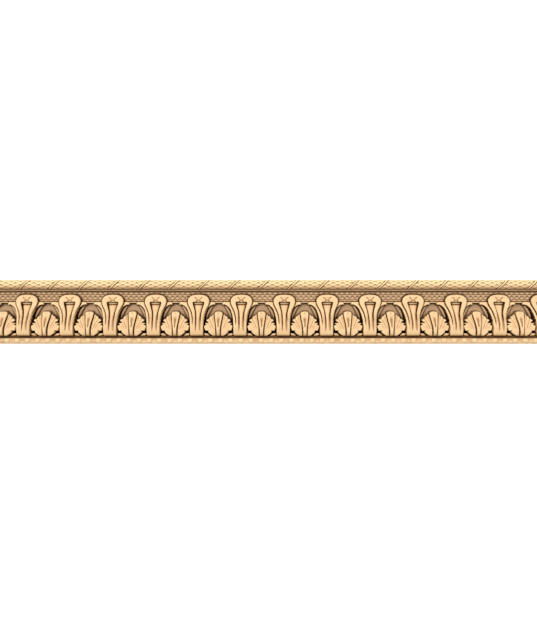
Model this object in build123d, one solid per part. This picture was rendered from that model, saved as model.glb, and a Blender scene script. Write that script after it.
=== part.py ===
import math
import os

from build123d import *

# One length of carved frieze moulding, laid on its back with the carved face up.
# X runs along the length, +Y is the edge fixed uppermost, +Z comes out of the wall.
# The origin is the middle of the flat back. All sizes are in millimetres.

# Stock: whole repeats, so that lengths butt together without breaking the pattern
PITCH = 77.0
REPEATS = 13
LENGTH = PITCH * REPEATS

# Bands of the section, from the bottom edge upwards
BEAD_BAND = 10.4
QUIRK_BAND = 3.8
ORNAMENT_BAND = 59.9
GROUND_BAND = 20.2
FILLET_BAND = 1.7
TORUS_DIAMETER = 18.2

# Depths of the section, from the flat back
GROUND_DEPTH = 14.0
FILLET_DEPTH = 17.6
RIM_DEPTH = 16.8
WEB_BELLY_DEPTH = 36.3
QUIRK_DEPTH = 26.0
STRIP_DEPTH = 33.2
STRIP_BEVEL = 2.3

# Swelling front that all the leafwork follows: how high its belly lies, and its roundness
BELLY_HEIGHT = 11.6
BELLY_RADIUS = 17.3

# Arched niche, one to a repeat
NICHE_RADIUS = 26.5
CROWN_DROP = 4.2
CROWN_NOTCH_WIDTH = 12.5
CROWN_NOTCH_RISE = 2.5
FLOOR_DEPTH = 8.6
FLOOR_RISE = 4.8

# Gable ribs on the niche floor, each from the arch down to the palmette
RIB_TOP = (11.1, 52.0)
RIB_FOOT = (21.7, 28.9)
RIB_WIDTH = 3.3
RIB_RELIEF = 4.8

# Looped leaf between the niches, a little right of the middle as carved
LOOP_OFFSET = 2.3
LOOP_HEIGHT = 73.5
LOOP_HEAD_WIDTH = 38.9
LOOP_HEAD_RISE = 11.7
LOOP_HEAD_CORNER_RADIUS = 8.0
LOOP_STEM_WIDTH = 18.3
LOOP_STEM_HEIGHT = 29.8
LOOP_TOP_DEPTH = 19.2
LOOP_BELLY_DEPTH = 36.9
LOOP_BEVEL = 2.5

# Opening inside the loop, and the tongue that lies in it
OPENING_TOP = 59.9
OPENING_WIDTH = 20.6
OPENING_WAIST_WIDTH = 10.0
OPENING_WAIST_HEIGHT = 34.7
OPENING_FOOT_WIDTH = 6.7
OPENING_FOOT_HEIGHT = 17.3
OPENING_DEPTH = 14.0
OPENING_FOOT_SINK = 0.9
TONGUE_GAP = 1.9
TONGUE_WIDTH = 12.5
TONGUE_WAIST_WIDTH = 6.9
TONGUE_FOOT_WIDTH = 4.2
TONGUE_DEPTH = 16.9

# Palmette in the niche: a middle lobe between two toothed fans
LOBE_HEIGHT = 42.9
LOBE_WIDTH = 14.0
LOBE_TIP_WIDTH = 8.0
LOBE_TIP_RISE = 3.2
LOBE_FOOT_WIDTH = 5.8
LOBE_TOP_DEPTH = 23.1
LOBE_BELLY_DEPTH = 38.5
LOBE_BEVEL = 1.8
FAN_GROOVE = 1.4
FAN_HEIGHT = 37.2
FAN_TIP = (21.9, 27.5)
FAN_TEETH = 3
TOOTH_RISE = 1.5
UPPER_NOTCH = (16.7, 24.0)
SIDE_LEAF_TIP = (25.4, 16.9)
SIDE_LEAF_FOOT = (22.9, 8.7)
LOWER_NOTCH = (17.3, 7.4)
FAN_FOOT_WIDTH = 18.3
FAN_TOP_DEPTH = 21.7
FAN_BELLY_DEPTH = 34.8
FOOT_LEAF_REACH = 23.4
FOOT_LEAF_WIDTH = 10.6
FOOT_LEAF_HEIGHT = 5.0
FOOT_LEAF_DEPTH = 30.8

# Beads along the bottom edge, spaced on their own, with one a little left of the middle
BEAD_PITCH = 18.05
BEAD_OFFSET = -0.6
BEAD_LENGTH = 7.5
BEAD_DEPTH = 35.2

HEIGHT = BEAD_BAND + QUIRK_BAND + ORNAMENT_BAND + GROUND_BAND + FILLET_BAND + TORUS_DIAMETER
BOTTOM = -HEIGHT / 2
BEAD_TOP = BOTTOM + BEAD_BAND
FOOT = BEAD_TOP + QUIRK_BAND
RIM_TOP = FOOT + ORNAMENT_BAND
GROUND_TOP = RIM_TOP + GROUND_BAND
FILLET_TOP = GROUND_TOP + FILLET_BAND
TOP = HEIGHT / 2
CLEAR = LOBE_BELLY_DEPTH + FLOOR_DEPTH
ROOT = FLOOR_DEPTH / 2


# A point of the leafwork, from its distance off the axis and its height above the foot
def leaf_point(across, above_foot):
    return Vector(across, FOOT + above_foot)


# Where a straight from a far point runs into a circle without a corner, anticlockwise of the far point
def touch_point(centre, radius, far):
    across, up = far[0] - centre[0], far[1] - centre[1]
    angle = math.atan2(up, across) + math.acos(radius / math.hypot(across, up))
    return centre[0] + radius * math.cos(angle), centre[1] + radius * math.sin(angle)


# The swelling front in section: it rounds out to the belly, then lies straight back to its top
def front_edges(height, top_depth, belly_depth):
    centre = (FOOT + BELLY_HEIGHT, belly_depth - BELLY_RADIUS)
    top = (FOOT + height, top_depth)
    touch = touch_point(centre, BELLY_RADIUS, top)
    foot = (FOOT, centre[1] + math.sqrt(BELLY_RADIUS**2 - BELLY_HEIGHT**2))
    belly = (centre[0], belly_depth)
    return [ThreePointArc((0, *foot), (0, *belly), (0, *touch)), Line((0, *touch), (0, *top))]


# Wood behind that front, or the air before it when closed on the far side
def front_block(height, top_depth, belly_depth, far_side=ROOT):
    belly, lie = front_edges(height, top_depth, belly_depth)
    rest = Polyline(lie @ 1, (0, FOOT + height, far_side), (0, FOOT, far_side), belly @ 0)
    return extrude(make_face([belly, lie, rest]), amount=PITCH, dir=(1, 0, 0), both=True)


# Symmetrical face from the edges of its right-hand half and the width where they end
def mirrored(edges, foot_width, foot_height=0.0):
    foot = Line(leaf_point(foot_width / 2, foot_height), leaf_point(-foot_width / 2, foot_height))
    return make_face([*edges, *[edge.mirror(Plane.YZ) for edge in edges], foot])


# Takes the corner off all round a leaf's front
def bevelled(leaf, width):
    front = leaf.faces().filter_by(lambda face: face.normal_at().Z > 0.5)
    return chamfer(front.edges().filter_by(Axis.X, reverse=True), width)


# Copies along the whole length, trimmed where the stock is sawn off
def repeated(shape, pitch, phase=0.0):
    reach = shape.bounding_box().size.X / 2
    first = math.ceil((-LENGTH / 2 - reach - phase) / pitch)
    last = math.floor((LENGTH / 2 + reach - phase) / pitch)
    copies = []
    for i in range(first, last + 1):
        copy = Pos(phase + i * pitch, 0, 0) * shape
        ends_inside = abs(phase + i * pitch) + reach <= LENGTH / 2
        copies.append(copy if ends_inside else copy & stock)
    return copies


# Bar: the running section, extruded for the whole length
belly, lie = front_edges(ORNAMENT_BAND, RIM_DEPTH, WEB_BELLY_DEPTH)
strip_edge = STRIP_DEPTH - STRIP_BEVEL
strip = Polyline(
    belly @ 0,
    (0, FOOT, QUIRK_DEPTH),
    (0, BEAD_TOP, QUIRK_DEPTH),
    (0, BEAD_TOP, strip_edge),
    (0, BEAD_TOP - STRIP_BEVEL, STRIP_DEPTH),
    (0, BOTTOM + STRIP_BEVEL, STRIP_DEPTH),
    (0, BOTTOM, strip_edge),
)
ground = Polyline(
    lie @ 1,
    (0, RIM_TOP, GROUND_DEPTH),
    (0, GROUND_TOP, GROUND_DEPTH),
    (0, GROUND_TOP, FILLET_DEPTH),
    (0, FILLET_TOP, FILLET_DEPTH),
)
torus = ThreePointArc(
    ground @ 1,
    (0, FILLET_TOP + TORUS_DIAMETER / 2, FILLET_DEPTH + TORUS_DIAMETER / 2),
    (0, TOP, FILLET_DEPTH),
)
back = Polyline(torus @ 1, (0, TOP, 0), (0, BOTTOM, 0), strip @ 1)
section = make_face([belly, lie, strip, ground, torus, back])
bar = extrude(section, amount=LENGTH / 2, dir=(1, 0, 0), both=True)
stock = Pos(0, 0, CLEAR / 2) * Box(LENGTH, HEIGHT, CLEAR)

# Niche: a round-headed recess, notched at the crown, whose floor rises towards the foot
spring = RIM_TOP - CROWN_DROP - NICHE_RADIUS
arch = Pos(0, spring) * Circle(NICHE_RADIUS)
arch += Pos(0, (spring + FOOT) / 2) * Rectangle(2 * NICHE_RADIUS, spring - FOOT)
arch += Pos(0, spring + NICHE_RADIUS / 2) * Rectangle(CROWN_NOTCH_WIDTH, NICHE_RADIUS + 2 * CROWN_NOTCH_RISE)
niche_air = Polyline(
    (0, FOOT, FLOOR_DEPTH + FLOOR_RISE),
    (0, RIM_TOP, FLOOR_DEPTH),
    (0, RIM_TOP, CLEAR),
    (0, FOOT, CLEAR),
    close=True,
)
niche = extrude(arch, amount=CLEAR) & extrude(make_face(niche_air), amount=PITCH, dir=(1, 0, 0), both=True)

# Gable ribs: two thin ridges on the niche floor that lean together behind the palmette
rib_top = leaf_point(*RIB_TOP)
rib_foot = leaf_point(*RIB_FOOT)
rib_run = (rib_foot - rib_top).normalized()
rib_side = Vector(-rib_run.Y, rib_run.X) * RIB_WIDTH / 2
rib_face = make_face(Polyline(rib_top, rib_foot + rib_side, rib_foot - rib_side, close=True))
right_rib = Pos(0, 0, ROOT) * extrude(rib_face, amount=FLOOR_DEPTH + RIB_RELIEF - ROOT)

# Looped leaf: an oval head on a waisted stem, with its front corner taken off
head_side = leaf_point(LOOP_HEAD_WIDTH / 2, LOOP_HEIGHT - LOOP_HEAD_RISE)
stem_side = leaf_point(LOOP_STEM_WIDTH / 2, LOOP_STEM_HEIGHT)
corner_inset = LOOP_HEAD_WIDTH / 2 - LOOP_HEAD_CORNER_RADIUS
corner_rise = LOOP_HEAD_RISE - LOOP_HEAD_CORNER_RADIUS
crown_radius = LOOP_HEAD_CORNER_RADIUS + (corner_inset**2 + corner_rise**2) / (2 * corner_rise)
crown_angle = math.degrees(math.asin(corner_inset / (crown_radius - LOOP_HEAD_CORNER_RADIUS)))
crown = JernArc(leaf_point(0, LOOP_HEIGHT), (1, 0), crown_radius, -crown_angle)
corner = TangentArc(crown @ 1, head_side, tangent=crown % 1)
shoulder = TangentArc(head_side, (head_side + stem_side) / 2, tangent=(0, -1))
waist = TangentArc(shoulder @ 1, stem_side, tangent=shoulder % 1)
loop_edges = [
    crown,
    corner,
    shoulder,
    waist,
    Line(stem_side, leaf_point(LOOP_STEM_WIDTH / 2, 0)),
]
loop = extrude(mirrored(loop_edges, LOOP_STEM_WIDTH), amount=CLEAR)
loop &= front_block(LOOP_HEIGHT, LOOP_TOP_DEPTH, LOOP_BELLY_DEPTH)
loop = bevelled(loop, LOOP_BEVEL)

# Opening: sunk to the ground under the head, and running out down the stem
opening_edges = [
    Line(leaf_point(0, OPENING_TOP), leaf_point(OPENING_WIDTH / 2, OPENING_TOP)),
    ThreePointArc(
        leaf_point(OPENING_WIDTH / 2, OPENING_TOP),
        leaf_point(OPENING_WAIST_WIDTH / 2, OPENING_WAIST_HEIGHT),
        leaf_point(OPENING_FOOT_WIDTH / 2, OPENING_FOOT_HEIGHT),
    ),
]
opening = extrude(mirrored(opening_edges, OPENING_FOOT_WIDTH, OPENING_FOOT_HEIGHT), amount=CLEAR)
opening &= front_block(OPENING_TOP, OPENING_DEPTH, LOOP_BELLY_DEPTH - OPENING_FOOT_SINK, far_side=CLEAR)

# Tongue: a narrower leaf along the middle of the opening, its tip clear of the head
tongue_top = OPENING_TOP - TONGUE_GAP
tongue_edges = Polyline(
    leaf_point(0, tongue_top),
    leaf_point(TONGUE_WIDTH / 2, tongue_top),
    leaf_point(TONGUE_WAIST_WIDTH / 2, OPENING_WAIST_HEIGHT),
    leaf_point(TONGUE_FOOT_WIDTH / 2, OPENING_FOOT_HEIGHT),
).edges()
tongue = extrude(mirrored(tongue_edges, TONGUE_FOOT_WIDTH, OPENING_FOOT_HEIGHT), amount=CLEAR)
tongue &= front_block(tongue_top, TONGUE_DEPTH, LOOP_BELLY_DEPTH)

# Palmette lobe: a tapering middle leaf with a blunt tip
lobe_edges = Polyline(
    leaf_point(0, LOBE_HEIGHT),
    leaf_point(LOBE_TIP_WIDTH / 2, LOBE_HEIGHT),
    leaf_point(LOBE_WIDTH / 2, LOBE_HEIGHT - LOBE_TIP_RISE),
    leaf_point(LOBE_FOOT_WIDTH / 2, 0),
).edges()
lobe = extrude(mirrored(lobe_edges, LOBE_FOOT_WIDTH), amount=CLEAR)
lobe &= front_block(LOBE_HEIGHT + LOBE_BEVEL, LOBE_TOP_DEPTH, LOBE_BELLY_DEPTH)
lobe = bevelled(lobe, LOBE_BEVEL)

# Palmette fan: toothed along the top, notched to the floor above and below the side leaf
fan_start = leaf_point(LOBE_WIDTH / 2 + FAN_GROOVE, FAN_HEIGHT)
fan_run = (leaf_point(*FAN_TIP) - fan_start) / FAN_TEETH
tooth = fan_run / 2 + Vector(-fan_run.Y, fan_run.X).normalized() * TOOTH_RISE
fan_corners = []
for i in range(FAN_TEETH):
    fan_corners += [fan_start + fan_run * i, fan_start + fan_run * i + tooth]
fan_corners += [leaf_point(*at) for at in (FAN_TIP, UPPER_NOTCH, SIDE_LEAF_TIP, SIDE_LEAF_FOOT, LOWER_NOTCH)]
fan_corners += [leaf_point(FAN_FOOT_WIDTH / 2, 0), leaf_point(LOBE_FOOT_WIDTH / 2 + FAN_GROOVE, 0)]
right_fan = extrude(make_face(Polyline(*fan_corners, close=True)), amount=CLEAR)
right_fan &= front_block(FAN_HEIGHT + TOOTH_RISE, FAN_TOP_DEPTH, FAN_BELLY_DEPTH)

# Foot leaf: a low point that fills the corner between the fan and the stem
foot_leaf_face = Polyline(
    leaf_point(FOOT_LEAF_REACH - FOOT_LEAF_WIDTH, 0),
    leaf_point(FOOT_LEAF_REACH - FOOT_LEAF_WIDTH / 2, FOOT_LEAF_HEIGHT),
    leaf_point(FOOT_LEAF_REACH, FOOT_LEAF_HEIGHT),
    leaf_point(FOOT_LEAF_REACH, 0),
    close=True,
)
right_foot_leaf = Pos(0, 0, ROOT) * extrude(make_face(foot_leaf_face), amount=FOOT_LEAF_DEPTH - ROOT)

# Bead: a short swelling across the bottom strip
bead_face = Polyline(
    (0, BEAD_TOP, strip_edge),
    (0, BEAD_TOP - BEAD_BAND / 3, BEAD_DEPTH),
    (0, BOTTOM + BEAD_BAND / 3, BEAD_DEPTH),
    (0, BOTTOM, strip_edge),
    close=True,
)
bead = extrude(make_face(bead_face), amount=BEAD_LENGTH / 2, dir=(1, 0, 0), both=True)

# The finished length: niches sunk first, then the leafwork and the beads left standing
loop_place = PITCH / 2 + LOOP_OFFSET
palmette = [lobe]
for half in (right_fan, right_foot_leaf, right_rib):
    palmette += [half, mirror(half, about=Plane.YZ)]
moulding = bar - repeated(niche, PITCH)
moulding += repeated(loop, PITCH, loop_place)
moulding -= repeated(opening, PITCH, loop_place)
raised = repeated(tongue, PITCH, loop_place) + repeated(bead, BEAD_PITCH, BEAD_OFFSET)
for piece in palmette:
    raised += [Pos(PITCH * (i - (REPEATS - 1) / 2), 0, 0) * piece for i in range(REPEATS)]
moulding += raised

os.makedirs("parts", exist_ok=True)
export_step(moulding, "parts/frieze_moulding.step")
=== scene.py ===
import math

import bpy
import numpy as np
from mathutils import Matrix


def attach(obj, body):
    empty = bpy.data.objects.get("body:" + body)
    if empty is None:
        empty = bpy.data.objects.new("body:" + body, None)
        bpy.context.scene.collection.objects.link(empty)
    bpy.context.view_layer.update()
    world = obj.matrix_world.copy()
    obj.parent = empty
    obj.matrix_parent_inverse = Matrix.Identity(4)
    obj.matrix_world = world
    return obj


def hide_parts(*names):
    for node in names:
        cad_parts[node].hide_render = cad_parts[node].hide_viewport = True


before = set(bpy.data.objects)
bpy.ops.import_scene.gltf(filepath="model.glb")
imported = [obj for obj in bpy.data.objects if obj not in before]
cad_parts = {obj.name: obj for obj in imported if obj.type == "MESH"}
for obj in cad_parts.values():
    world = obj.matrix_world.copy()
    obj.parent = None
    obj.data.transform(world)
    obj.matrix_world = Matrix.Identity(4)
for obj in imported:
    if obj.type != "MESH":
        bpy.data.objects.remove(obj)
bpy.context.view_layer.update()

# Niches and web. The middle of the timber bar is sunk in a row of round-headed niches, cut by gouge down
# to a plain floor that rises towards the foot. The web left between two niches ends in a horn each side.
# Sizes are in millimetres: across from a middle line, up from the foot, and out from the flat back.
FOOT = -42.9
RIM = 60.4
NICHE = [(0, 58.8), (7.2, 58.8), (6.4, 57.8), (6.2, 56.6), (6.8, 55.7), (10.2, 55.9), (14.2, 54.2),
         (18.4, 50.8), (21.6, 46.2), (23.9, 39.3), (25.6, 33.0), (26.8, 24.0), (27.2, 14.0), (27.2, -8.0)]
GABLE = [(9.6, 55.0), (12.8, 48.8), (16.3, 42.4), (19.4, 36.0), (22.6, 28.6),
         (23.0, 35.6), (20.4, 42.8), (16.2, 49.6), (12.4, 53.6)]
GABLE_RISE = 4.0
FLOOR_DEEP, FLOOR_RISE = 8.6, 4.8
WEB_FRONT = [(-4, 30.3), (0.4, 32.4), (3, 34.0), (6.5, 35.4), (12, 36.4), (20.7, 35.2), (26, 33.0),
             (31.3, 30.0), (36.7, 26.6), (42, 23.6), (49.2, 20.6), (56.4, 18.4), (60.4, 17.4)]
HORN_NICK_AT, HORN_NICK_HALF, HORN_NICK_DEEP = 7.2, 0.7, 1.0
HORN_NICK_UP, HORN_NICK_RUN = 58.2, 0.8


def fair(at, pairs):
    """A smooth curve through a few measured pairs of place and value, flat beyond the first and last."""
    marks, values = np.array(pairs, float).T
    slope = np.gradient(values, marks)
    i = np.clip(np.searchsorted(marks, at) - 1, 0, len(marks) - 2)
    gap = marks[i + 1] - marks[i]
    t = np.clip((at - marks[i]) / gap, 0, 1)
    straight = values[i] * (1 + 2 * t) * (1 - t) ** 2 + values[i + 1] * t * t * (3 - 2 * t)
    return straight + gap * (slope[i] * t * (1 - t) ** 2 - slope[i + 1] * t * t * (1 - t))


def both_sides(right_half):
    """A closed outline from its right half, top to bottom."""
    right_half = np.array(right_half, float)
    return np.vstack([right_half, (right_half * [-1, 1])[::-1]])


def depth_inside(across, up, outline):
    """How far each point lies inside a closed outline; less than nothing outside it."""
    hair = 1e-9
    start = np.array(outline, float)
    start = start[np.any(np.abs(start - np.roll(start, -1, 0)) > hair, axis=1)]
    end = np.roll(start, -1, 0)
    run = end - start
    off_x = across[..., None] - start[:, 0]
    off_y = up[..., None] - start[:, 1]
    t = np.clip((off_x * run[:, 0] + off_y * run[:, 1]) / (run**2).sum(1), 0, 1)
    gap = np.hypot(off_x - t * run[:, 0], off_y - t * run[:, 1]).min(-1)
    level = np.where(np.abs(run[:, 1]) < hair, hair, run[:, 1])
    spans = (start[:, 1] > up[..., None]) != (end[:, 1] > up[..., None])
    crossings = spans & (off_x < off_y * run[:, 0] / level)
    return np.where(crossings.sum(-1) % 2 == 1, gap, -gap)


def rolled_edge(inside, radius, drop, wall):
    """How far a front falls away towards its edge, and then down its steep side."""
    t = np.clip(1 - inside / radius, 0, 1)
    return drop * (1 - np.sqrt(1 - t * t)) + np.clip(-inside, 0, None) * wall


def swell(off, half):
    """One at the middle, nothing from half a width either side of it."""
    t = off / half
    return np.clip(1 - t * t, 0, None) ** 2


def ease(past, over=1.0):
    """From nothing to one over a run, starting and ending gently."""
    t = np.clip(past / over, 0, 1)
    return t * t * (3 - 2 * t)


def niche_floor(up):
    return FLOOR_DEEP + FLOOR_RISE * (1 - up / RIM)


def niche_and_web(across, up):
    nick = HORN_NICK_DEEP * swell(np.abs(across) - HORN_NICK_AT, HORN_NICK_HALF)
    web = fair(up, WEB_FRONT) - nick * ease(up - HORN_NICK_UP, over=HORN_NICK_RUN)
    into_niche = depth_inside(across, up, both_sides(NICHE))
    into_gable = depth_inside(np.abs(across), up, GABLE)
    rim = web - rolled_edge(np.minimum(RIM - up, -into_niche), radius=1.6, drop=0.9, wall=12)
    gable = niche_floor(up) + GABLE_RISE - rolled_edge(into_gable, radius=1.5, drop=1.2, wall=3)
    return np.maximum(np.maximum(niche_floor(up), rim), gable)


# Looped leaf. One is carved before each web, a little right of its middle: a rounded band that goes up,
# over and down again, tied at the top, with a tongue lying in its opening. Lower down it runs into the web.
REPEAT = 77.0
LOOP_AT = REPEAT / 2 + 2.3
LOOPS_AT = (LOOP_AT, LOOP_AT - REPEAT)
LOOP_FRONT = [(-4, 30.5), (0.4, 32.6), (3, 34.2), (6.5, 35.6), (12, 36.7), (20.7, 35.7), (26, 33.8),
              (31.3, 31.2), (36.7, 28.6), (42, 26.5), (49.2, 24.6), (56.4, 22.4), (61.7, 21.0), (67, 20.4),
              (73.5, 19.4)]
STEM_EDGE_DROP, HEAD_EDGE_DROP = 0.7, 1.1
HEAD_EDGE_FROM, HEAD_EDGE_RUN = 20, 18
INNER_EDGE_FROM, INNER_EDGE_RUN = 24, 16
OPENING_SINK = [(3, 0), (6, 0.1), (10, 0.6), (15.4, 1.2), (20.7, 1.6), (31, 2.5), (42, 4.2), (50, 5.4),
                (60, 5.6)]
TIE_UP, TIE_HALF, TIE_LOW, TIE_HIGH = 64.3, 2.2, 60, 70
TIE_SPREAD_UP, TIE_SPREAD_DOWN = 0.95, 0.75
TIE_UPPER_DEEP, TIE_LOWER_DEEP, TIE_CREASE_DEEP = 0.8, 1.7, 0.8
TONGUE_LEFT, TONGUE_ROUND, TONGUE_ROUND_FROM, TONGUE_ROUND_RUN = 0.4, 2.0, 6, 18
TONGUE_HALF = [(3, 2.2), (8, 2.3), (15, 2.5), (25, 2.7), (35, 3.1), (40, 3.7), (45, 4.9), (50, 6.0),
               (58.2, 7.0)]
TONGUE_SINK = [(4, 0.0), (10, 0.0), (15.4, 0.1), (20.7, 0.3), (26, 0.6), (31.3, 1.0), (36.7, 1.5), (42, 2.2),
               (45.6, 2.9), (49.2, 3.6), (52.8, 4.1), (58, 4.3)]
LIP_UP, LIP_WIDE, LIP_RISE = 58.0, 12.0, 2.2
LIP_NECK_DOWN, LIP_NECK_DEEP = 2.8, 0.5
BESIDE_LOOP_OUT, BESIDE_LOOP_DEEP, BESIDE_LOOP_FROM, BESIDE_LOOP_RUN = 0.9, 1.3, 16, 14


def smooth_line(points, steps=6):
    """Points along a fair line through a few drawn ones."""
    points = np.array(points, float)
    order = np.arange(len(points))
    at = np.linspace(0, len(points) - 1, (len(points) - 1) * steps + 1)
    return np.stack([fair(at, list(zip(order, points[:, axis]))) for axis in (0, 1)], 1)


LOOP = smooth_line([(0, 73.4), (5, 73.2), (10, 72.4), (14.2, 70.5), (17.2, 67.7), (18.9, 64.3), (19.2, 60.6),
                    (18.3, 56), (16.2, 51.6), (13.8, 47), (11.9, 42.2), (10.5, 37), (9.5, 31.5), (9.0, 25),
                    (8.9, 12), (9.1, -8)])
OPENING = np.vstack([[(0, 60.3), (8.8, 60.3)],
                     smooth_line([(10.0, 59.2), (9.8, 56.6), (8.9, 53.4), (7.8, 50.0), (6.5, 45.4), (5.6, 41),
                                  (5.2, 35), (5.0, 27), (4.9, 17), (4.8, 5)])])


def tie_cut(across, up):
    """How deep the crossed tie is cut into the loop's head."""
    above_tie = up - TIE_UP
    spread = np.where(above_tie > 0, TIE_SPREAD_UP, -TIE_SPREAD_DOWN)
    tie = TIE_HALF + spread * above_tie - np.abs(across)
    upper = TIE_UPPER_DEEP * ease(tie, over=1.5) * np.clip(1 - above_tie / 4.4, 0, 1)
    lower = TIE_LOWER_DEEP * ease(tie / 1.4 + 0.3) * ease(-above_tie / 1.6 + 0.4)
    crease = TIE_CREASE_DEEP * swell(tie, half=1.7) * ease(TIE_HIGH - up, over=2)
    return np.where(up > TIE_LOW, np.where(above_tie > 0, upper, lower) + crease, 0)


def looped_leaf(across, up, under):
    front = fair(up, LOOP_FRONT)
    to_edge = depth_inside(across, up, both_sides(LOOP))
    into_opening = depth_inside(across, up, both_sides(OPENING))
    outer_drop = STEM_EDGE_DROP + HEAD_EDGE_DROP * ease(up - HEAD_EDGE_FROM, over=HEAD_EDGE_RUN)
    band = front - rolled_edge(to_edge, radius=2.6, drop=outer_drop, wall=8)
    inner_drop = rolled_edge(-into_opening, radius=2.4, drop=1.3, wall=0)
    band -= ease(up - INNER_EDGE_FROM, over=INNER_EDGE_RUN) * inner_drop
    band -= tie_cut(across, up)
    band -= ease(into_opening / 1.2 + 0.5) * fair(up, OPENING_SINK)

    off_middle = np.abs(across + TONGUE_LEFT) / fair(up, TONGUE_HALF)
    rounding = TONGUE_ROUND * off_middle**2.4 * ease(up - TONGUE_ROUND_FROM, over=TONGUE_ROUND_RUN)
    tongue = front - fair(up, TONGUE_SINK) - rounding
    neck = LIP_NECK_DEEP * swell(up - LIP_UP + LIP_NECK_DOWN, half=1.4)
    tongue += LIP_RISE * swell(up - LIP_UP, half=1.5) - neck
    leaf = np.where((up < LIP_UP + 0.8) & (into_opening > -0.4), np.maximum(band, tongue), band)
    beside = BESIDE_LOOP_DEEP * swell(to_edge + BESIDE_LOOP_OUT, half=1.6)
    under = under - beside * ease(up - BESIDE_LOOP_FROM, over=BESIDE_LOOP_RUN)
    return np.where(into_opening > -0.6, leaf, np.maximum(under, leaf))


# Palmette. One is carved in each niche: a spoon-shaped middle lobe between two fans of petals, each
# notched to the floor above and below its side leaf, and a small leaf in either corner at the foot.
LOBE = smooth_line([(0, 43.0), (3.6, 42.8), (6.0, 41.6), (7.0, 39.4), (6.9, 36.5), (5.9, 30), (4.7, 23),
                    (3.6, 16), (3.0, 8), (2.8, -8)])
LOBE_FRONT = [(-4, 33), (1.3, 35.3), (4.8, 37.4), (10.1, 38.4), (15.4, 37.8), (20.7, 35.7), (26, 32.9),
              (31.3, 28.9), (36.7, 25.4), (43, 23.4)]
SPOON_DEEP, SPOON_LOW, SPOON_HIGH = 1.2, 13, 35
SPOON_HALF = [(14, 1.4), (20, 2.6), (30, 4.6), (36, 5.2)]
DIMPLE_DEEP, DIMPLE_UP, DIMPLE_WIDE, DIMPLE_TALL = 0.5, 40.2, 2.4, 1.1
FAN = [(4.5, 38.0), (8.4, 36.8), (9.8, 38.2), (11.2, 36.6), (12.4, 34.9), (14.6, 34.5), (15.8, 32.4),
       (17.0, 30.2), (19.0, 29.6), (21.8, 27.8), (21.2, 26.4), (17.0, 23.6), (19.6, 22.8), (23.2, 22.4),
       (23.4, 21.3), (20.7, 20.1), (23.0, 19.2), (25.6, 17.2), (25.0, 14.6), (23.6, 11.6), (22.7, 9.5),
       (17.2, 9.2), (17.6, 6.9), (15.4, 4.4), (10.2, 0.4), (9.4, -8), (1.0, -8), (1.5, 16)]
FAN_FRONT = [(-4, 32.4), (3, 34.0), (10.1, 34.8), (15.4, 33.6), (20.7, 31.6), (26, 29.0), (31.3, 25.6),
             (38.5, 22.4)]
FAN_BEND_FROM, FAN_BEND = 12, 0.04
PETAL_ROOT_OUT, PETAL_ROOT_UP = 1.0, -3.0
PETAL_ANGLE, FIRST_VALLEY = 9.5, 64.8
FLUTE_DEEP = [(36, 0.2), (50, 0.5), (64, 0.9)]
FLUTE_FROM, FLUTE_RUN = 10, 14
BESIDE_LOBE_OUT, BESIDE_LOBE_DEEP = 1.1, 1.8
FOOT_LEAF = [(14.2, -0.6), (18.0, 3.0), (20.6, 4.1), (24.0, 4.2), (26.4, 3.6), (26.2, 2.2), (24.0, 0.9),
             (22.8, -8), (14.2, -8)]
FOOT_LEAF_FRONT = 29.4


def from_nearest(steps):
    """How far each place lies from the nearest whole step, as a share of a step."""
    return (steps + 0.5) % 1 - 0.5


def palmette(across, up):
    into_lobe = depth_inside(across, up, both_sides(LOBE))
    spoon = SPOON_DEEP * swell(across, half=fair(up, SPOON_HALF))
    spoon *= ease(up - SPOON_LOW, over=5) * ease(SPOON_HIGH - up, over=8)
    dimple = DIMPLE_DEEP * swell(np.hypot(across / DIMPLE_WIDE, (up - DIMPLE_UP) / DIMPLE_TALL), half=1)
    lobe = fair(up, LOBE_FRONT) - rolled_edge(into_lobe, radius=2.0, drop=1.6, wall=12) - spoon - dimple

    side = np.abs(across)
    turn = np.degrees(np.arctan2(up - PETAL_ROOT_UP, side - PETAL_ROOT_OUT))
    reach = np.hypot(up - PETAL_ROOT_UP, side - PETAL_ROOT_OUT)
    off_valley = np.abs(from_nearest((turn - FIRST_VALLEY) / PETAL_ANGLE)) * 2
    flute = (1 + np.cos(np.pi * off_valley)) / 2 * ease(reach - FLUTE_FROM, over=FLUTE_RUN)
    flute *= fair(turn, FLUTE_DEEP)
    into_fan = depth_inside(side, up, FAN)
    fan = fair(up, FAN_FRONT) - rolled_edge(into_fan, radius=1.2, drop=1.0, wall=14) - flute
    fan -= BESIDE_LOBE_DEEP * swell(into_lobe + BESIDE_LOBE_OUT, half=1.6)
    fan -= FAN_BEND * np.clip(side - FAN_BEND_FROM, 0, None) ** 1.4

    into_foot_leaf = depth_inside(side, up, FOOT_LEAF)
    foot_leaf = FOOT_LEAF_FRONT - rolled_edge(into_foot_leaf, radius=1.8, drop=1.4, wall=14)
    return np.maximum(np.maximum(lobe, fan), foot_leaf)


# Scaled ground. The sunk band under the rail is cut all over with rows of small round-topped scales,
# each row set half a scale along from the next, with the tops towards the rail.
GROUND_DEEP = 14.0
GROUND_TOP = 37.2
SCALE_WIDE, SCALE_ROW, SCALE_TALL = 9.256, 4.44, 4.2
SCALE_AT, FIRST_TIP = 5.88, 35.8
SCALE_RISE, SCALE_SLOPE = 0.35, 0.09
SCALE_CUT_DEEP, SCALE_TOP_DEEP, SCALE_CUT_HALF = 0.5, 0.9, 0.6


def along_row(x, start, wide, row):
    """How far along from the middle of its scale a place lies, in rows that step by half a scale."""
    return from_nearest((x - start) / wide + row / 2) * wide


def groove(off, half):
    """One along the bottom of a fine cut, fading to nothing at its sides."""
    return np.exp(-((off / half) ** 2))


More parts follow.
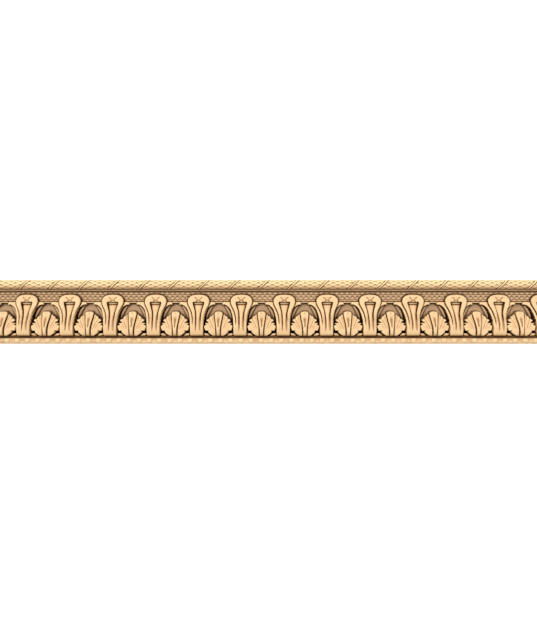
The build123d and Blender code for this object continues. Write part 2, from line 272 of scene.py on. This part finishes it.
def scaled_ground(x, y):
    height = np.full(np.broadcast(x, y).shape, GROUND_DEEP)
    for row in range(-1, 6):
        off = along_row(x, SCALE_AT, SCALE_WIDE, row)
        round_top = SCALE_TALL * (1 - np.sqrt(np.clip(1 - (2 * off / SCALE_WIDE) ** 2, 0, 1)))
        below_edge = FIRST_TIP - SCALE_ROW * row - round_top - y
        height = np.where(below_edge > 0, GROUND_DEEP + SCALE_RISE - SCALE_SLOPE * below_edge, height)
        deep = SCALE_CUT_DEEP + SCALE_TOP_DEEP * swell(off, half=4.4)
        height -= deep * groove(below_edge, SCALE_CUT_HALF)
    return height


# Round rail. The top edge is a half-round with bigger scales, tips down and a drilled dot where two meet,
# and thin ribbons that wind over it on a slant. The relief is cut square to the round.
HALF_HEIGHT = 57.1
RAIL_RADIUS, RAIL_DEEP = 9.1, 17.6
RAIL_AXIS = HALF_HEIGHT - RAIL_RADIUS
RAIL_SCALE_WIDE, RAIL_SCALE_ROW = 16.7, 3.75
RAIL_SCALE_AT, RAIL_FIRST_TIP = 11.1, 3.9
RAIL_SCALE_BEND, RAIL_SCALE_SINK, RAIL_SCALE_SLOPE = 0.05, 0.05, 0.1
RAIL_CUT_DEEP, RAIL_CUT_HALF = 0.55, 0.5
UNDER_SCALES = 0.5
DOT_DEEP, DOT_WIDE, DOT_TALL = 0.7, 1.5, 0.7
RIBBON_PITCH, RIBBON_WIDE, RIBBON_AT, RIBBON_RISE = 53.5, 2.7, 2.6, 0.2
RIGHT_GROOVE_DEEP, LEFT_GROOVE_DEEP = 1.5, 0.9


def rail_relief(x, y, along):
    relief = np.full(np.broadcast(x, along).shape, -UNDER_SCALES)
    meeting = RAIL_SCALE_BEND * (RAIL_SCALE_WIDE / 2) ** 2
    for row in range(-1, 8):
        tip = RAIL_FIRST_TIP + RAIL_SCALE_ROW * row
        off = along_row(x, RAIL_SCALE_AT, RAIL_SCALE_WIDE, row)
        above_edge = along - tip - RAIL_SCALE_BEND * off**2
        scale = -RAIL_SCALE_SINK - RAIL_SCALE_SLOPE * np.clip(above_edge, 0, 4)
        relief = np.where(above_edge > 0, scale, relief)
        relief = relief - RAIL_CUT_DEEP * groove(above_edge, RAIL_CUT_HALF)
        off_dot = np.hypot((RAIL_SCALE_WIDE / 2 - np.abs(off)) / DOT_WIDE, (along - tip - meeting) / DOT_TALL)
        relief = relief - DOT_DEEP * groove(off_dot, half=1)

    off_ribbon = from_nearest((x - y + RAIL_AXIS - RIBBON_AT) / RIBBON_PITCH)
    off_ribbon = off_ribbon * RIBBON_PITCH / math.sqrt(2)
    inside = RIBBON_WIDE / 2 - np.abs(off_ribbon)
    ribbon = RIBBON_RISE - rolled_edge(inside, radius=0.7, drop=0.3, wall=3)
    side_cut = np.where(off_ribbon > 0, RIGHT_GROOVE_DEEP, LEFT_GROOVE_DEEP) * groove(inside + 0.5, half=0.45)
    return np.where(inside > -0.3, np.maximum(relief, ribbon), relief) - side_cut


# Bead strip. A rounded square strip along the bottom edge, with short soft beads left standing
# on its upper part and flats between them.
STRIP_TOP, STRIP_EDGE, STRIP_RISE = -47.2, 30.9, 2.3
BEAD_PITCH, BEAD_AT = 18.05, -0.6
BEAD_LONG, BEAD_HIGH, BEAD_RISE = 9.4, 8.0, 1.8
BEAD_MIDDLE = -51.1


def on_bead(x, y):
    off = np.abs(from_nearest((x - BEAD_AT) / BEAD_PITCH)) * BEAD_PITCH
    out = np.abs(off / (BEAD_LONG / 2)) ** 3 + np.abs((y - BEAD_MIDDLE) / (BEAD_HIGH / 2)) ** 3
    return np.clip(1 - out, 0, None) ** 0.8


def bead_strip(x, y):
    t = np.clip((y + HALF_HEIGHT) / (STRIP_TOP + HALF_HEIGHT), 0, 1) * 2 - 1
    return STRIP_EDGE + STRIP_RISE * np.clip(1 - np.abs(t) ** 5, 0, None) ** 0.5 + BEAD_RISE * on_bead(x, y)


# The carved length, put together: one bar of pale timber, planed flat on the back and sawn square at
# both ends. The leafwork comes once to a repeat, and the rail, the ground and the beads run through.
REPEATS = 13
LENGTH = REPEAT * REPEATS
COLUMNS, FINE = 146, 0.5
STRIP_ROWS, QUIRK_ROWS, FILLET_ROWS, RAIL_ROWS = 25, 8, 5, 51
LOW_EDGE_LEVELS, TOP_EDGE_LEVELS = [0, 8, 16, 24, 29], [14, 7, 0]
QUIRK_DEEP, FILLET_TOP = 26.0, 38.9
RAIL_FADE = 0.3
column_x = np.linspace(-LENGTH / 2, LENGTH / 2, COLUMNS * REPEATS + 1)
strip_turn = np.linspace(0, np.pi, STRIP_ROWS)
strip_y = -HALF_HEIGHT + (STRIP_TOP + HALF_HEIGHT) * (1 - np.cos(strip_turn)) / 2
quirk_y = np.linspace(STRIP_TOP + 0.1, FOOT - 0.2, QUIRK_ROWS)
leaf_y = np.arange(FOOT, GROUND_TOP - 0.1, FINE)
fillet_y = np.linspace(GROUND_TOP, FILLET_TOP - 0.1, FILLET_ROWS)


def every_repeat(one):
    """One repeat's rows, laid end to end along the whole length."""
    return np.hstack([one[:, :-1]] * REPEATS + [one[:, :1]])


across, up = np.meshgrid(np.linspace(-REPEAT / 2, REPEAT / 2, COLUMNS + 1), leaf_y - FOOT)
leafwork = np.maximum(niche_and_web(across, up), palmette(across, up))
for loop_at in LOOPS_AT:
    leafwork = looped_leaf(across - loop_at, up, leafwork)
leafwork = every_repeat(leafwork)
x, y = np.meshgrid(column_x, leaf_y)
leafwork = np.where(y > FOOT + RIM, np.maximum(leafwork, scaled_ground(x, y)), leafwork)

front_y = np.concatenate([strip_y, quirk_y, leaf_y, fillet_y])
front_z = np.vstack([
    bead_strip(column_x[None, :], strip_y[:, None]),
    np.full((QUIRK_ROWS, len(column_x)), QUIRK_DEEP),
    leafwork,
    np.full((FILLET_ROWS, len(column_x)), RAIL_DEEP),
])
rail_turn = np.linspace(0, np.pi, RAIL_ROWS)
rail_y = RAIL_AXIS - RAIL_RADIUS * np.cos(rail_turn)
relief = rail_relief(column_x[None, :], rail_y[:, None], RAIL_RADIUS * rail_turn[:, None])
relief *= np.clip(np.sin(rail_turn) / RAIL_FADE, 0, 1)[:, None]
round_y = RAIL_AXIS - (RAIL_RADIUS + relief) * np.cos(rail_turn)[:, None]
round_z = RAIL_DEEP + (RAIL_RADIUS + relief) * np.sin(rail_turn)[:, None]


def plain_rows(y, levels):
    """The planed edge at one side of the bar, row by row."""
    flat = np.ones(len(column_x))
    return np.outer(np.full(len(levels), y), flat), np.outer(levels, flat)


low_y, low_z = plain_rows(-HALF_HEIGHT, LOW_EDGE_LEVELS)
high_y, high_z = plain_rows(HALF_HEIGHT, TOP_EDGE_LEVELS)
grid_y = np.vstack([low_y, np.repeat(front_y[:, None], len(column_x), 1), round_y, high_y])
grid_z = np.vstack([low_z, front_z, round_z, high_z])
grid_x = np.repeat(column_x[None, :], len(grid_y), 0)

# Painted shade and highlight on it. The hollows are painted darker as shade: how dark a point is painted goes
# by the sky it loses to what stands close round it and further off. The ground, the fillet and the rail's
# underside are painted darker as shade too, and what stands proud of all round it is painted paler as a
# highlight.
CLOSE_REACHES, WIDE_REACHES, PROUD_REACHES = (0.8, 1.6, 2.4), (5.0, 9.0, 14.0), (1.6, 2.4, 5.0)
STEEPEST = 0.6
OUT_OF_REACH = 99.0
FLOOR_OPENS, NEAR_FLOOR, FLOOR_CLOSE_SHADE_CAP = 27.5, 3.0, 0.19
WALL_FROM, WALL_TO = 0.1, 1.6
WALL_SHADE, WALL_SHADE_WIDE, WALL_SHADE_WIDER = 0.44, 1.8, 2.2
WALL_WIDER_BELOW, WALL_WIDER_RUN = 50, 20
PALMETTE_SHADE, PALMETTE_SHADE_THINS, PALMETTE_SHADE_FROM = 0.27, 0.12, 9
LOOP_SHADE, LOOP_SHADE_THINS = 0.34, 0.09
FOOT_SHADE, FOOT_SHADE_WIDE, QUIRK_SHADE = 0.2, 3.4, 0.28
PETALS_LESS_SHADE, STRIP_SHADE_KEPT = 0.35, 0.45
BAND_SHADE, BAND_SHADE_UP, BAND_SHADE_HALF = 0.06, 27, 24
UNDER_LIP_SHADE, UNDER_LIP_DOWN = 0.045, 3.4
SPOON_SHADE, SPOON_SHADE_UP = 0.08, 29
RAIL_CUT_SHADE, RAIL_CUT_SHADE_FROM = 0.5, 0.4
RAIL_UNDERSIDE_SHADE_TO, RAIL_UNDERSIDE_SHADE_RUN = 1.2, 0.6
RAIL_HIGHLIGHT_FROM, RAIL_HIGHLIGHT_RUN = 1.25, 0.5
PROUD_HIGHLIGHT, PROUD_HIGHLIGHT_FROM, PROUD_HIGHLIGHT_RUN, BEAD_HIGHLIGHT = 0.7, 0.2, 0.35, 0.85
FLOOR_SHADE, GROUND_SHADE, FILLET_SHADE, STRIP_DARKENING = 0.85, 0.5, 0.5, 0.16
GROUND_SHADE_GROWS = 0.015
CUT_DEEPER_WHERE_SHADED = 0.4


def a_way_off(height, reach, turn):
    """The heights that far off in one direction."""
    columns_on = round(reach * math.cos(turn) * COLUMNS / REPEAT)
    rows_on = round(reach * math.sin(turn) / FINE)
    rows = np.clip(np.arange(height.shape[0]) + rows_on, 0, height.shape[0] - 1)
    columns = np.clip(np.arange(height.shape[1]) + columns_on, 0, height.shape[1] - 1)
    return height[rows][:, columns]


def hollow(height, reaches):
    """How deep each point lies between what stands close on its two sides."""
    tries = [(reach, turn) for reach in reaches for turn in np.arange(4) * np.pi / 4]
    total = np.zeros_like(height)
    for reach, turn in tries:
        sides = (a_way_off(height, reach, turn) + a_way_off(height, reach, turn + np.pi)) / 2
        rise = np.clip((sides - height) / reach, 0, STEEPEST)
        total += rise / np.sqrt(1 + rise * rise)
    return total / len(tries)


def lost_sky(height, reaches):
    """How much of the sky each point loses to what stands round it."""
    tries = [(reach, turn) for reach in reaches for turn in np.arange(8) * np.pi / 4]
    total = np.zeros_like(height)
    for reach, turn in tries:
        rise = np.clip((a_way_off(height, reach, turn) - height) / reach, 0, None)
        total += rise / np.sqrt(1 + rise * rise)
    return total / len(tries)


on_strip = slice(0, len(strip_y))
on_quirk = slice(on_strip.stop, on_strip.stop + len(quirk_y))
on_leaf = slice(on_quirk.stop, on_quirk.stop + len(leaf_y))


def over_leafwork(one):
    """A distance that is known over one repeat, for the whole front."""
    whole = np.full(front_z.shape, OUT_OF_REACH)
    whole[on_leaf] = every_repeat(one)
    return whole


def topped_up(painted_light, where, least):
    """The painted shade, with no less than this where it is put."""
    return np.where(where, np.maximum(painted_light, least), painted_light)


into_lobe = depth_inside(across, up, both_sides(LOBE))
into_fan = depth_inside(np.abs(across), up, FAN)
beside_loop = np.full(across.shape, REPEAT)
on_band = np.zeros(across.shape)
lip = np.zeros(across.shape)
under_lip = np.zeros(across.shape)
for loop_at in LOOPS_AT:
    off_middle = across - loop_at
    into_loop = depth_inside(off_middle, up, both_sides(LOOP))
    into_opening = depth_inside(off_middle, up, both_sides(OPENING))
    along_lip = ease(LIP_WIDE / 2 + 0.5 - np.abs(off_middle))
    beside_loop = np.minimum(beside_loop, -into_loop)
    on_band += ease(into_loop - 0.2) * ease(-into_opening)
    lip += swell(up - LIP_UP, half=1.6) * along_lip
    under_lip += swell(up - LIP_UP + UNDER_LIP_DOWN, half=2.2) * along_lip

above_foot = (front_y - FOOT)[:, None]
above_floor = front_z - niche_floor(above_foot)
in_leaves = (above_foot > 0) & (above_foot < RIM)
off_wall = over_leafwork(depth_inside(across, up, both_sides(NICHE)))
off_palmette = over_leafwork(-np.maximum(into_lobe, into_fan))
off_loop = over_leafwork(beside_loop)
open_floor = in_leaves & (above_floor < NEAR_FLOOR) & (above_foot > FLOOR_OPENS)
on_wall = in_leaves & (above_foot > FLOOR_OPENS) & (off_wall > WALL_FROM) & (off_wall < WALL_TO)
round_palmette = in_leaves & (above_foot > PALMETTE_SHADE_FROM) & (off_wall > 0) & (off_palmette > 0.15)
on_ground = (above_foot > RIM) & (front_z < GROUND_DEEP + 0.6)

# Close painted shade: darker in creases and hollows, capped on the open niche floor, and put in beside the
# niche walls, round the palmettes, on the ground beside the loops, at the foot and in the quirk.
close_shade = hollow(front_z, CLOSE_REACHES)
wall_reach = WALL_SHADE_WIDE + WALL_SHADE_WIDER * ease(WALL_WIDER_BELOW - above_foot, over=WALL_WIDER_RUN)
beside_wall = WALL_SHADE * (1 - off_wall / wall_reach)
close_shade = np.where(open_floor, np.maximum(np.minimum(close_shade, FLOOR_CLOSE_SHADE_CAP), beside_wall), close_shade)
close_shade = topped_up(close_shade, on_wall, beside_wall)
close_shade = topped_up(close_shade, round_palmette, PALMETTE_SHADE - PALMETTE_SHADE_THINS * off_palmette)
close_shade = topped_up(close_shade, on_ground, LOOP_SHADE - LOOP_SHADE_THINS * off_loop)
close_shade = np.maximum(close_shade, FOOT_SHADE * ease(1 - np.abs(above_foot) / FOOT_SHADE_WIDE))
close_shade[on_quirk] = QUIRK_SHADE
# Less painted shade on the lip and the petals, a little more painted shade on the loop's band, under the lip
# and in the spoon, and less of it on the bead strip.
petals = ease(into_fan - 0.5) * ease(-2.6 - into_lobe)
close_shade[on_leaf] *= 1 - every_repeat(np.maximum(lip, PETALS_LESS_SHADE * petals))
close_shade[on_leaf] += every_repeat(BAND_SHADE * on_band * swell(up - BAND_SHADE_UP, BAND_SHADE_HALF))
in_spoon = SPOON_SHADE * swell(across, half=4.4) * swell(up - SPOON_SHADE_UP, half=12)
close_shade[on_leaf] += every_repeat(UNDER_LIP_SHADE * under_lip + in_spoon)
close_shade[on_strip] *= STRIP_SHADE_KEPT
# The carved surface is cut a little deeper where this painted shade is put.
grid_z[len(low_y):len(low_y) + len(front_y)] -= CUT_DEEPER_WHERE_SHADED * close_shade

# Painted highlight: paler on what stands proud of all round it, on the lip and on the beads.
highlight = PROUD_HIGHLIGHT * np.clip((hollow(-front_z, PROUD_REACHES) - PROUD_HIGHLIGHT_FROM) / PROUD_HIGHLIGHT_RUN, 0, 1)
highlight[on_leaf] = np.maximum(highlight[on_leaf], every_repeat(lip))
highlight[on_strip] = BEAD_HIGHLIGHT * on_bead(column_x[None, :], strip_y[:, None])

# Painted shade on the niche floor near its bottom, on the ground (darker towards the rail) and on the fillet;
# the bead strip is made a little darker all over.
painted_shade_tone = np.where(in_leaves, FLOOR_SHADE * np.clip(1 - (above_floor - NEAR_FLOOR) / NEAR_FLOOR, 0, 1), 0)
painted_shade_tone = np.where(on_ground, GROUND_SHADE + GROUND_SHADE_GROWS * (above_foot - RIM), painted_shade_tone)
painted_shade_tone = np.where(front_y[:, None] > GROUND_TOP - 0.5, FILLET_SHADE, painted_shade_tone)
painted_shade_tone[on_strip] = STRIP_DARKENING

# The four are held as one colour at each point: close painted shade, wide painted shade, painted shade on the
# floor, ground, fillet and rail's underside with a little darkening of the bead strip, and painted highlight.
painted_light = np.zeros((*grid_z.shape, 4))
front_painted_light = painted_light[len(low_y):len(low_y) + len(front_y)]
front_painted_light[..., 0] = close_shade
# Wide painted shade: darker by the sky each point loses to what stands further off.
front_painted_light[..., 1] = lost_sky(front_z, WIDE_REACHES)
front_painted_light[..., 2] = painted_shade_tone
front_painted_light[..., 3] = highlight
rail_painted_light = painted_light[len(low_y) + len(front_y):len(grid_z) - len(high_y)]
# On the rail: painted shade in its cuts and on its underside, and painted highlight along its top.
rail_painted_light[..., 0] = np.clip(-RAIL_CUT_SHADE_FROM - relief, 0, 0.8) * RAIL_CUT_SHADE
rail_painted_light[..., 2] = np.clip((RAIL_UNDERSIDE_SHADE_TO - rail_turn) / RAIL_UNDERSIDE_SHADE_RUN, 0, 1)[:, None]
rail_painted_light[..., 3] = np.clip((rail_turn - RAIL_HIGHLIGHT_FROM) / RAIL_HIGHLIGHT_RUN, 0, 1)[:, None]

# The mesh of the bar: the rows go once round it, front, top edge, back and low edge, and a face closes
# each sawn end, which has no painted shade or highlight.
count_y, count_x = grid_x.shape
points = np.stack([grid_x, grid_y, grid_z], -1).reshape(-1, 3) / 1000
number = np.arange(count_x * count_y).reshape(count_y, count_x)
ring = np.vstack([number, number[:1]])
quads = np.stack([ring[:-1, :-1], ring[:-1, 1:], ring[1:, 1:], ring[1:, :-1]], -1).reshape(-1, 4)
corner_points = np.concatenate([quads.ravel(), number[:, 0], number[::-1, -1]])
sizes = np.concatenate([np.full(len(quads), 4), [count_y, count_y]])

mesh = bpy.data.meshes.new("carved_length")
mesh.vertices.add(len(points))
mesh.vertices.foreach_set("co", points.ravel())
mesh.loops.add(len(corner_points))
mesh.loops.foreach_set("vertex_index", corner_points.astype(np.int32))
mesh.polygons.add(len(sizes))
mesh.polygons.foreach_set("loop_start", (np.cumsum(sizes) - sizes).astype(np.int32))
mesh.update(calc_edges=True)
# Each corner holds the painted shade and highlight; the corners of the sawn ends hold none.
held_painted_light = painted_light.reshape(-1, 4)[corner_points].astype(np.float32)
held_painted_light[quads.size:] = 0
painted_light_attribute = mesh.attributes.new("painted_shade_and_highlight", "FLOAT_COLOR", "CORNER")
painted_light_attribute.data.foreach_set("color", held_painted_light.ravel())
mesh.validate()
carved = bpy.data.objects.new("carved_length", mesh)
bpy.context.scene.collection.objects.link(carved)

# Triangles go where the carving needs them, and few are left on the flats.
FEW_ENOUGH = 196000
SHARP_EDGE = math.radians(38)
thin = carved.modifiers.new("thin", "DECIMATE")
thin.ratio = FEW_ENOUGH / (2 * len(quads))
thin.use_collapse_triangulate = True
thinned = bpy.data.meshes.new_from_object(carved.evaluated_get(bpy.context.evaluated_depsgraph_get()))
carved.modifiers.clear()
carved.data = thinned
thinned.name = "carved_length"
bpy.data.meshes.remove(mesh)
for face in thinned.polygons:
    face.use_smooth = True
thinned.set_sharp_from_angle(angle=SHARP_EDGE)

# Its finish: pale straight-grained timber under a dull clear coat, with shade painted darker in the hollows,
# on the floor, ground and fillet and under the rail, and a highlight painted paler where it stands proud and
# on the rail's top.
BARE_TIMBER = [(0.3, (0.85, 0.56, 0.30)), (0.7, (0.95, 0.65, 0.36))]
SHADED_TIMBER = [(0.3, (0.42, 0.27, 0.155)), (0.7, (0.50, 0.33, 0.19))]
HIGHLIT_TIMBER = [(0.3, (0.92, 0.71, 0.38)), (0.7, (0.99, 0.79, 0.44))]
# Ramps of painted shade: close shade in creases and hollows, wide shade where much sky is lost.
CLOSE_SHADE_RAMP = [(0.02, (1, 1, 1)), (0.1, (0.66, 0.56, 0.46)), (0.22, (0.225, 0.16, 0.108)),
             (0.38, (0.03, 0.018, 0.011))]
WIDE_SHADE_RAMP = [(0.18, (1, 1, 1)), (0.42, (0.88, 0.85, 0.82)), (0.7, (0.28, 0.22, 0.17))]
GRAIN_LAY, PORES_LAY = (5.0, 120.0, 120.0), (60.0, 900.0, 900.0)
UNDER_COLOUR, OVER_COLOUR, MIXED_COLOUR = 6, 7, 2
timber = bpy.data.materials.new("carved_timber")
timber.use_nodes = True
nodes = timber.node_tree.nodes
links = timber.node_tree.links
shader = nodes["Principled BSDF"]


def node(kind, **inputs):
    """A new node with its inputs set."""
    made = nodes.new(kind)
    for name, value in inputs.items():
        made.inputs[name.replace("_", " ")].default_value = value
    return made


def ramp(source, stops):
    """Colours by how strong the source is."""
    made = nodes.new("ShaderNodeValToRGB")
    elements = made.color_ramp.elements
    for element, (at, colour) in zip(elements, (stops[0], stops[-1])):
        element.position = at
        element.color = (*colour, 1)
    for at, colour in stops[1:-1]:
        elements.new(at).color = (*colour, 1)
    links.new(source, made.inputs["Fac"])
    return made.outputs["Color"]


def layer(blend, under, over, factor=None):
    """One colour laid over another, fully or by a factor."""
    made = nodes.new("ShaderNodeMix")
    made.data_type = "RGBA"
    made.blend_type = blend
    if factor is None:
        made.inputs["Factor"].default_value = 1.0
    else:
        links.new(factor, made.inputs["Factor"])
    links.new(under, made.inputs[UNDER_COLOUR])
    links.new(over, made.inputs[OVER_COLOUR])
    return made.outputs[MIXED_COLOUR]


where = nodes.new("ShaderNodeTexCoord")
lay = node("ShaderNodeMapping", Scale=GRAIN_LAY)
grain = node("ShaderNodeTexNoise", Scale=1.0, Detail=5.0, Roughness=0.6, Distortion=0.4)
links.new(where.outputs["Object"], lay.inputs["Vector"])
links.new(lay.outputs["Vector"], grain.inputs["Vector"])
held = nodes.new("ShaderNodeAttribute")
held.attribute_name = "painted_shade_and_highlight"
parts = nodes.new("ShaderNodeSeparateColor")
links.new(held.outputs["Color"], parts.inputs["Color"])

# Bare timber, timber darkened as painted shade, the close and wide painted shade, and timber paled as painted
# highlight.
bare = ramp(grain.outputs["Fac"], BARE_TIMBER)
shaded = ramp(grain.outputs["Fac"], SHADED_TIMBER)
close_shade_colour = ramp(parts.outputs["Red"], CLOSE_SHADE_RAMP)
wide = ramp(parts.outputs["Green"], WIDE_SHADE_RAMP)
highlit = ramp(grain.outputs["Fac"], HIGHLIT_TIMBER)
# The painted highlight, the painted shade on floor, ground and under the rail, and the wide and close painted
# shade are laid over the bare timber.
toned = layer("MIX", bare, highlit, held.outputs["Alpha"])
toned = layer("MIX", toned, shaded, parts.outputs["Blue"])
toned = layer("MULTIPLY", toned, wide)
toned = layer("MULTIPLY", toned, close_shade_colour)
links.new(toned, shader.inputs["Base Color"])
shader.inputs["Roughness"].default_value = 0.5
shader.inputs["Specular IOR Level"].default_value = 0.12
fine_lay = node("ShaderNodeMapping", Scale=PORES_LAY)
pores = node("ShaderNodeTexNoise", Scale=1.0, Detail=3.0, Roughness=0.5)
links.new(where.outputs["Object"], fine_lay.inputs["Vector"])
links.new(fine_lay.outputs["Vector"], pores.inputs["Vector"])
raised = node("ShaderNodeBump", Strength=0.15, Distance=0.0002)
links.new(pores.outputs["Fac"], raised.inputs["Height"])
links.new(raised.outputs["Normal"], shader.inputs["Normal"])

thinned.materials.clear()
thinned.materials.append(timber)
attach(carved, "root")
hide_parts("frieze_moulding")

# The table under it: a plain white sheet that the length lies on. It is white to the camera and still
# takes the shadow.
TABLE_HALF, TABLE_TOP = 4, -0.0003
TABLE_GLOW = 0.75
sheet = bpy.data.meshes.new("table")
table_corners = [(-TABLE_HALF, -TABLE_HALF), (TABLE_HALF, -TABLE_HALF), (TABLE_HALF, TABLE_HALF),
                 (-TABLE_HALF, TABLE_HALF)]
sheet.from_pydata([(*at, TABLE_TOP) for at in table_corners], [], [(0, 1, 2, 3)])
table = bpy.data.objects.new("table", sheet)
bpy.context.scene.collection.objects.link(table)
white = bpy.data.materials.new("white_table")
white.use_nodes = True
tree = white.node_tree
paint = tree.nodes["Principled BSDF"]
paint.inputs["Base Color"].default_value = (0.8, 0.8, 0.8, 1)
paint.inputs["Roughness"].default_value = 0.9
paint.inputs["Emission Color"].default_value = (1, 1, 1, 1)


def shown_as_background(tree):
    """One for a ray that shows the background: to the camera, in a gloss or through glass."""
    rays = tree.nodes.new("ShaderNodeLightPath")
    shown = rays.outputs["Is Camera Ray"]
    for kind in ("Is Glossy Ray", "Is Transmission Ray"):
        either = tree.nodes.new("ShaderNodeMath")
        either.operation = "MAXIMUM"
        tree.links.new(shown, either.inputs[0])
        tree.links.new(rays.outputs[kind], either.inputs[1])
        shown = either.outputs[0]
    return shown


glow = tree.nodes.new("ShaderNodeMath")
glow.operation = "MULTIPLY"
glow.inputs[1].default_value = TABLE_GLOW
tree.links.new(shown_as_background(tree), glow.inputs[0])
tree.links.new(glow.outputs[0], paint.inputs["Emission Strength"])
sheet.materials.append(white)

# Light: one broad soft lamp above the picture's top left corner, and an even fill all round that is
# white where it is seen as the background.
FILL, BACKGROUND = 0.45, 1.0
sun = bpy.data.lights.new("window", "SUN")
sun.energy = 2.3
sun.angle = math.radians(35)
window = bpy.data.objects.new("window", sun)
window.rotation_euler = (math.radians(-24), math.radians(-17), 0)
bpy.context.scene.collection.objects.link(window)
world = bpy.data.worlds.new("room")
world.use_nodes = True
sky = world.node_tree.nodes["Background"]
sky.inputs["Color"].default_value = (1, 1, 1, 1)
bright = world.node_tree.nodes.new("ShaderNodeMapRange")
bright.inputs["To Min"].default_value = FILL
bright.inputs["To Max"].default_value = BACKGROUND
world.node_tree.links.new(shown_as_background(world.node_tree), bright.inputs["Value"])
world.node_tree.links.new(bright.outputs["Result"], sky.inputs["Strength"])
bpy.context.scene.world = world

# Camera: straight down on the carved face, as the photograph looks at it, so near that both ends of the
# length are cut off by the picture's sides.
lens = bpy.data.cameras.new("camera")
lens.lens = 43.2
lens.sensor_width = 36
camera = bpy.data.objects.new("camera", lens)
camera.location = (0.0123, 0.0012, 1.3583)
bpy.context.scene.collection.objects.link(camera)
bpy.context.scene.camera = camera
bpy.context.scene.view_settings.view_transform = "Standard"

bpy.context.view_layer.update()
